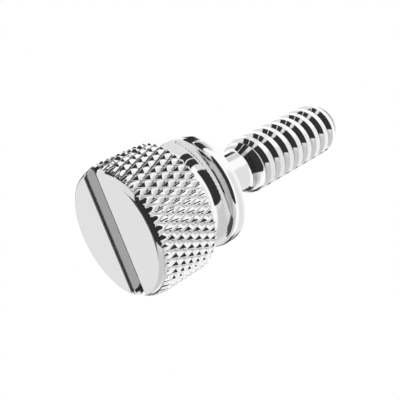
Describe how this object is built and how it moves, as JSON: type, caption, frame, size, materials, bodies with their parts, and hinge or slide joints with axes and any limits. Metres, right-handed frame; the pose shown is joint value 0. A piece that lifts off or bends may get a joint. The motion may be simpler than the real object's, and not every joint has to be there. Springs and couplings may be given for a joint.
{
  "type": "thumb screw",
  "caption": "Chromed thumb screw with a slotted, diamond-knurled head, a seating flange, a plain neck and a coarse threaded shank with a rounded point.",
  "frame": {"origin": "centre of the slotted face, which the screw stands on", "axes": "+Z along the screw's axis towards the point; the screwdriver slot runs along X"},
  "size_m": [0.0108, 0.0106, 0.0263],
  "materials": {
    "chrome": "bright polished chrome plate with faint polishing marks"
  },
  "bodies": {
    "root": {"thumb_screw": "chrome"}
  },
  "joints": []
}
